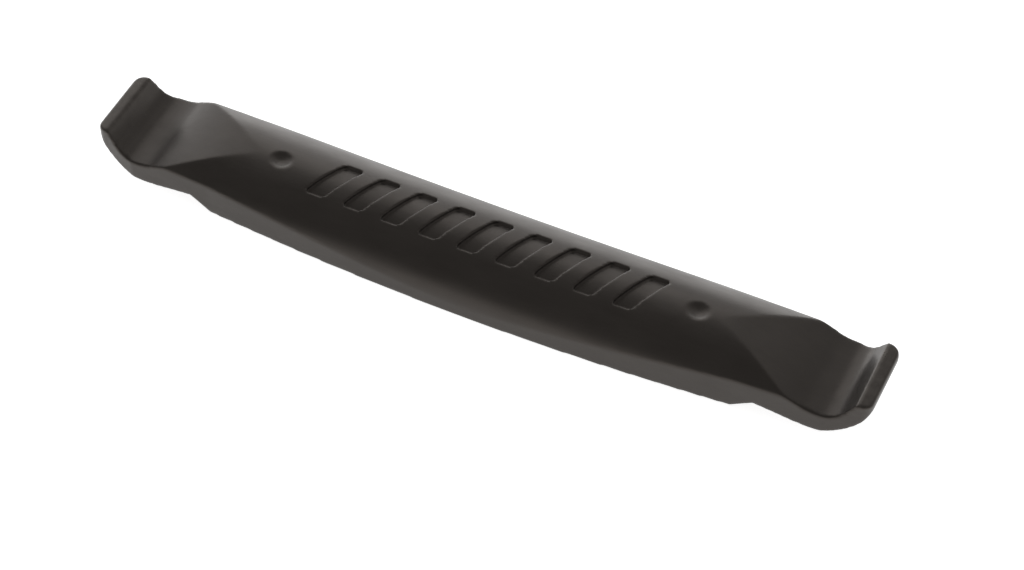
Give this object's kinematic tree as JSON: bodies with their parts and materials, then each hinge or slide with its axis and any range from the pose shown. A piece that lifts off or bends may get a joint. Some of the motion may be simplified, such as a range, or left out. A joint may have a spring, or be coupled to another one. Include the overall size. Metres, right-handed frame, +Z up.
{
  "type": "bicycle tyre lever",
  "caption": "Double-ended tyre lever with a crowned back, a spoon ramp and an upturned hook at each end, and a hollow underside.",
  "frame": {"origin": "middle of the lever, on the plane of the belly's flat rims", "axes": "+X along the lever towards one of its two equal ends, +Y across it, +Z up out of the crowned back"},
  "size_m": [0.1248, 0.0188, 0.0083],
  "materials": {
    "moulded_nylon": "black glass-filled nylon, satin from a lightly polished mould"
  },
  "bodies": {
    "root": {"tyre_lever": "moulded_nylon"}
  },
  "joints": []
}
